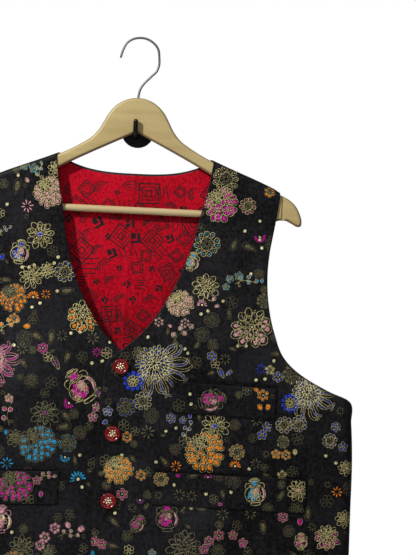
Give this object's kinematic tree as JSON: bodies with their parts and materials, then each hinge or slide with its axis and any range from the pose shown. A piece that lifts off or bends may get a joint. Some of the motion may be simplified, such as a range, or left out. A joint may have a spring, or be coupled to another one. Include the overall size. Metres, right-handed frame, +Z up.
{
  "type": "waistcoat on a coat hanger and wall hook",
  "caption": "Sleeveless V-neck waistcoat of black floral brocade with welt pockets and a buttoned front, hung on a flat wooden hanger that rests on a round wall hook.",
  "frame": {"origin": "centre of the wall hook's round back face, on the wall", "axes": "+Z up, +Y into the wall, so the front of the garment faces -Y; +X is the wearer's left"},
  "size_m": [0.57, 0.0399, 0.7078],
  "materials": {
    "brocade": "black satin ground with coloured and gold woven flowers",
    "back_satin": "plain black lining satin",
    "lining": "red lining cloth with a black geometric print",
    "button": "dark red enamel with a gold flower in relief",
    "hanger_wood": "clear satin lacquer on pale wood",
    "bar_wood": "bare pale wood",
    "hook_wire": "bright drawn wire",
    "hook_plastic": "glossy black moulding"
  },
  "bodies": {
    "waistcoat": {"front_left": "brocade", "front_right": "brocade", "welt_chest": "brocade", "welt_left": "brocade", "welt_right": "brocade", "back": "back_satin", "back_lining": "lining", "button_1": "button", "button_2": "button", "button_3": "button", "button_4": "button", "hanger": "hanger_wood", "trouser_bar": "bar_wood", "wall_hook": "hook_plastic"},
    "swivel_hook": {"hanger_hook": "hook_wire"}
  },
  "joints": [
    {"name": "hook_swivel", "type": "hinge", "parent": "waistcoat", "child": "swivel_hook", "pos_m": [0, -0.016, 0.038], "axis": [0, 0, 1], "continuous": true}
  ]
}
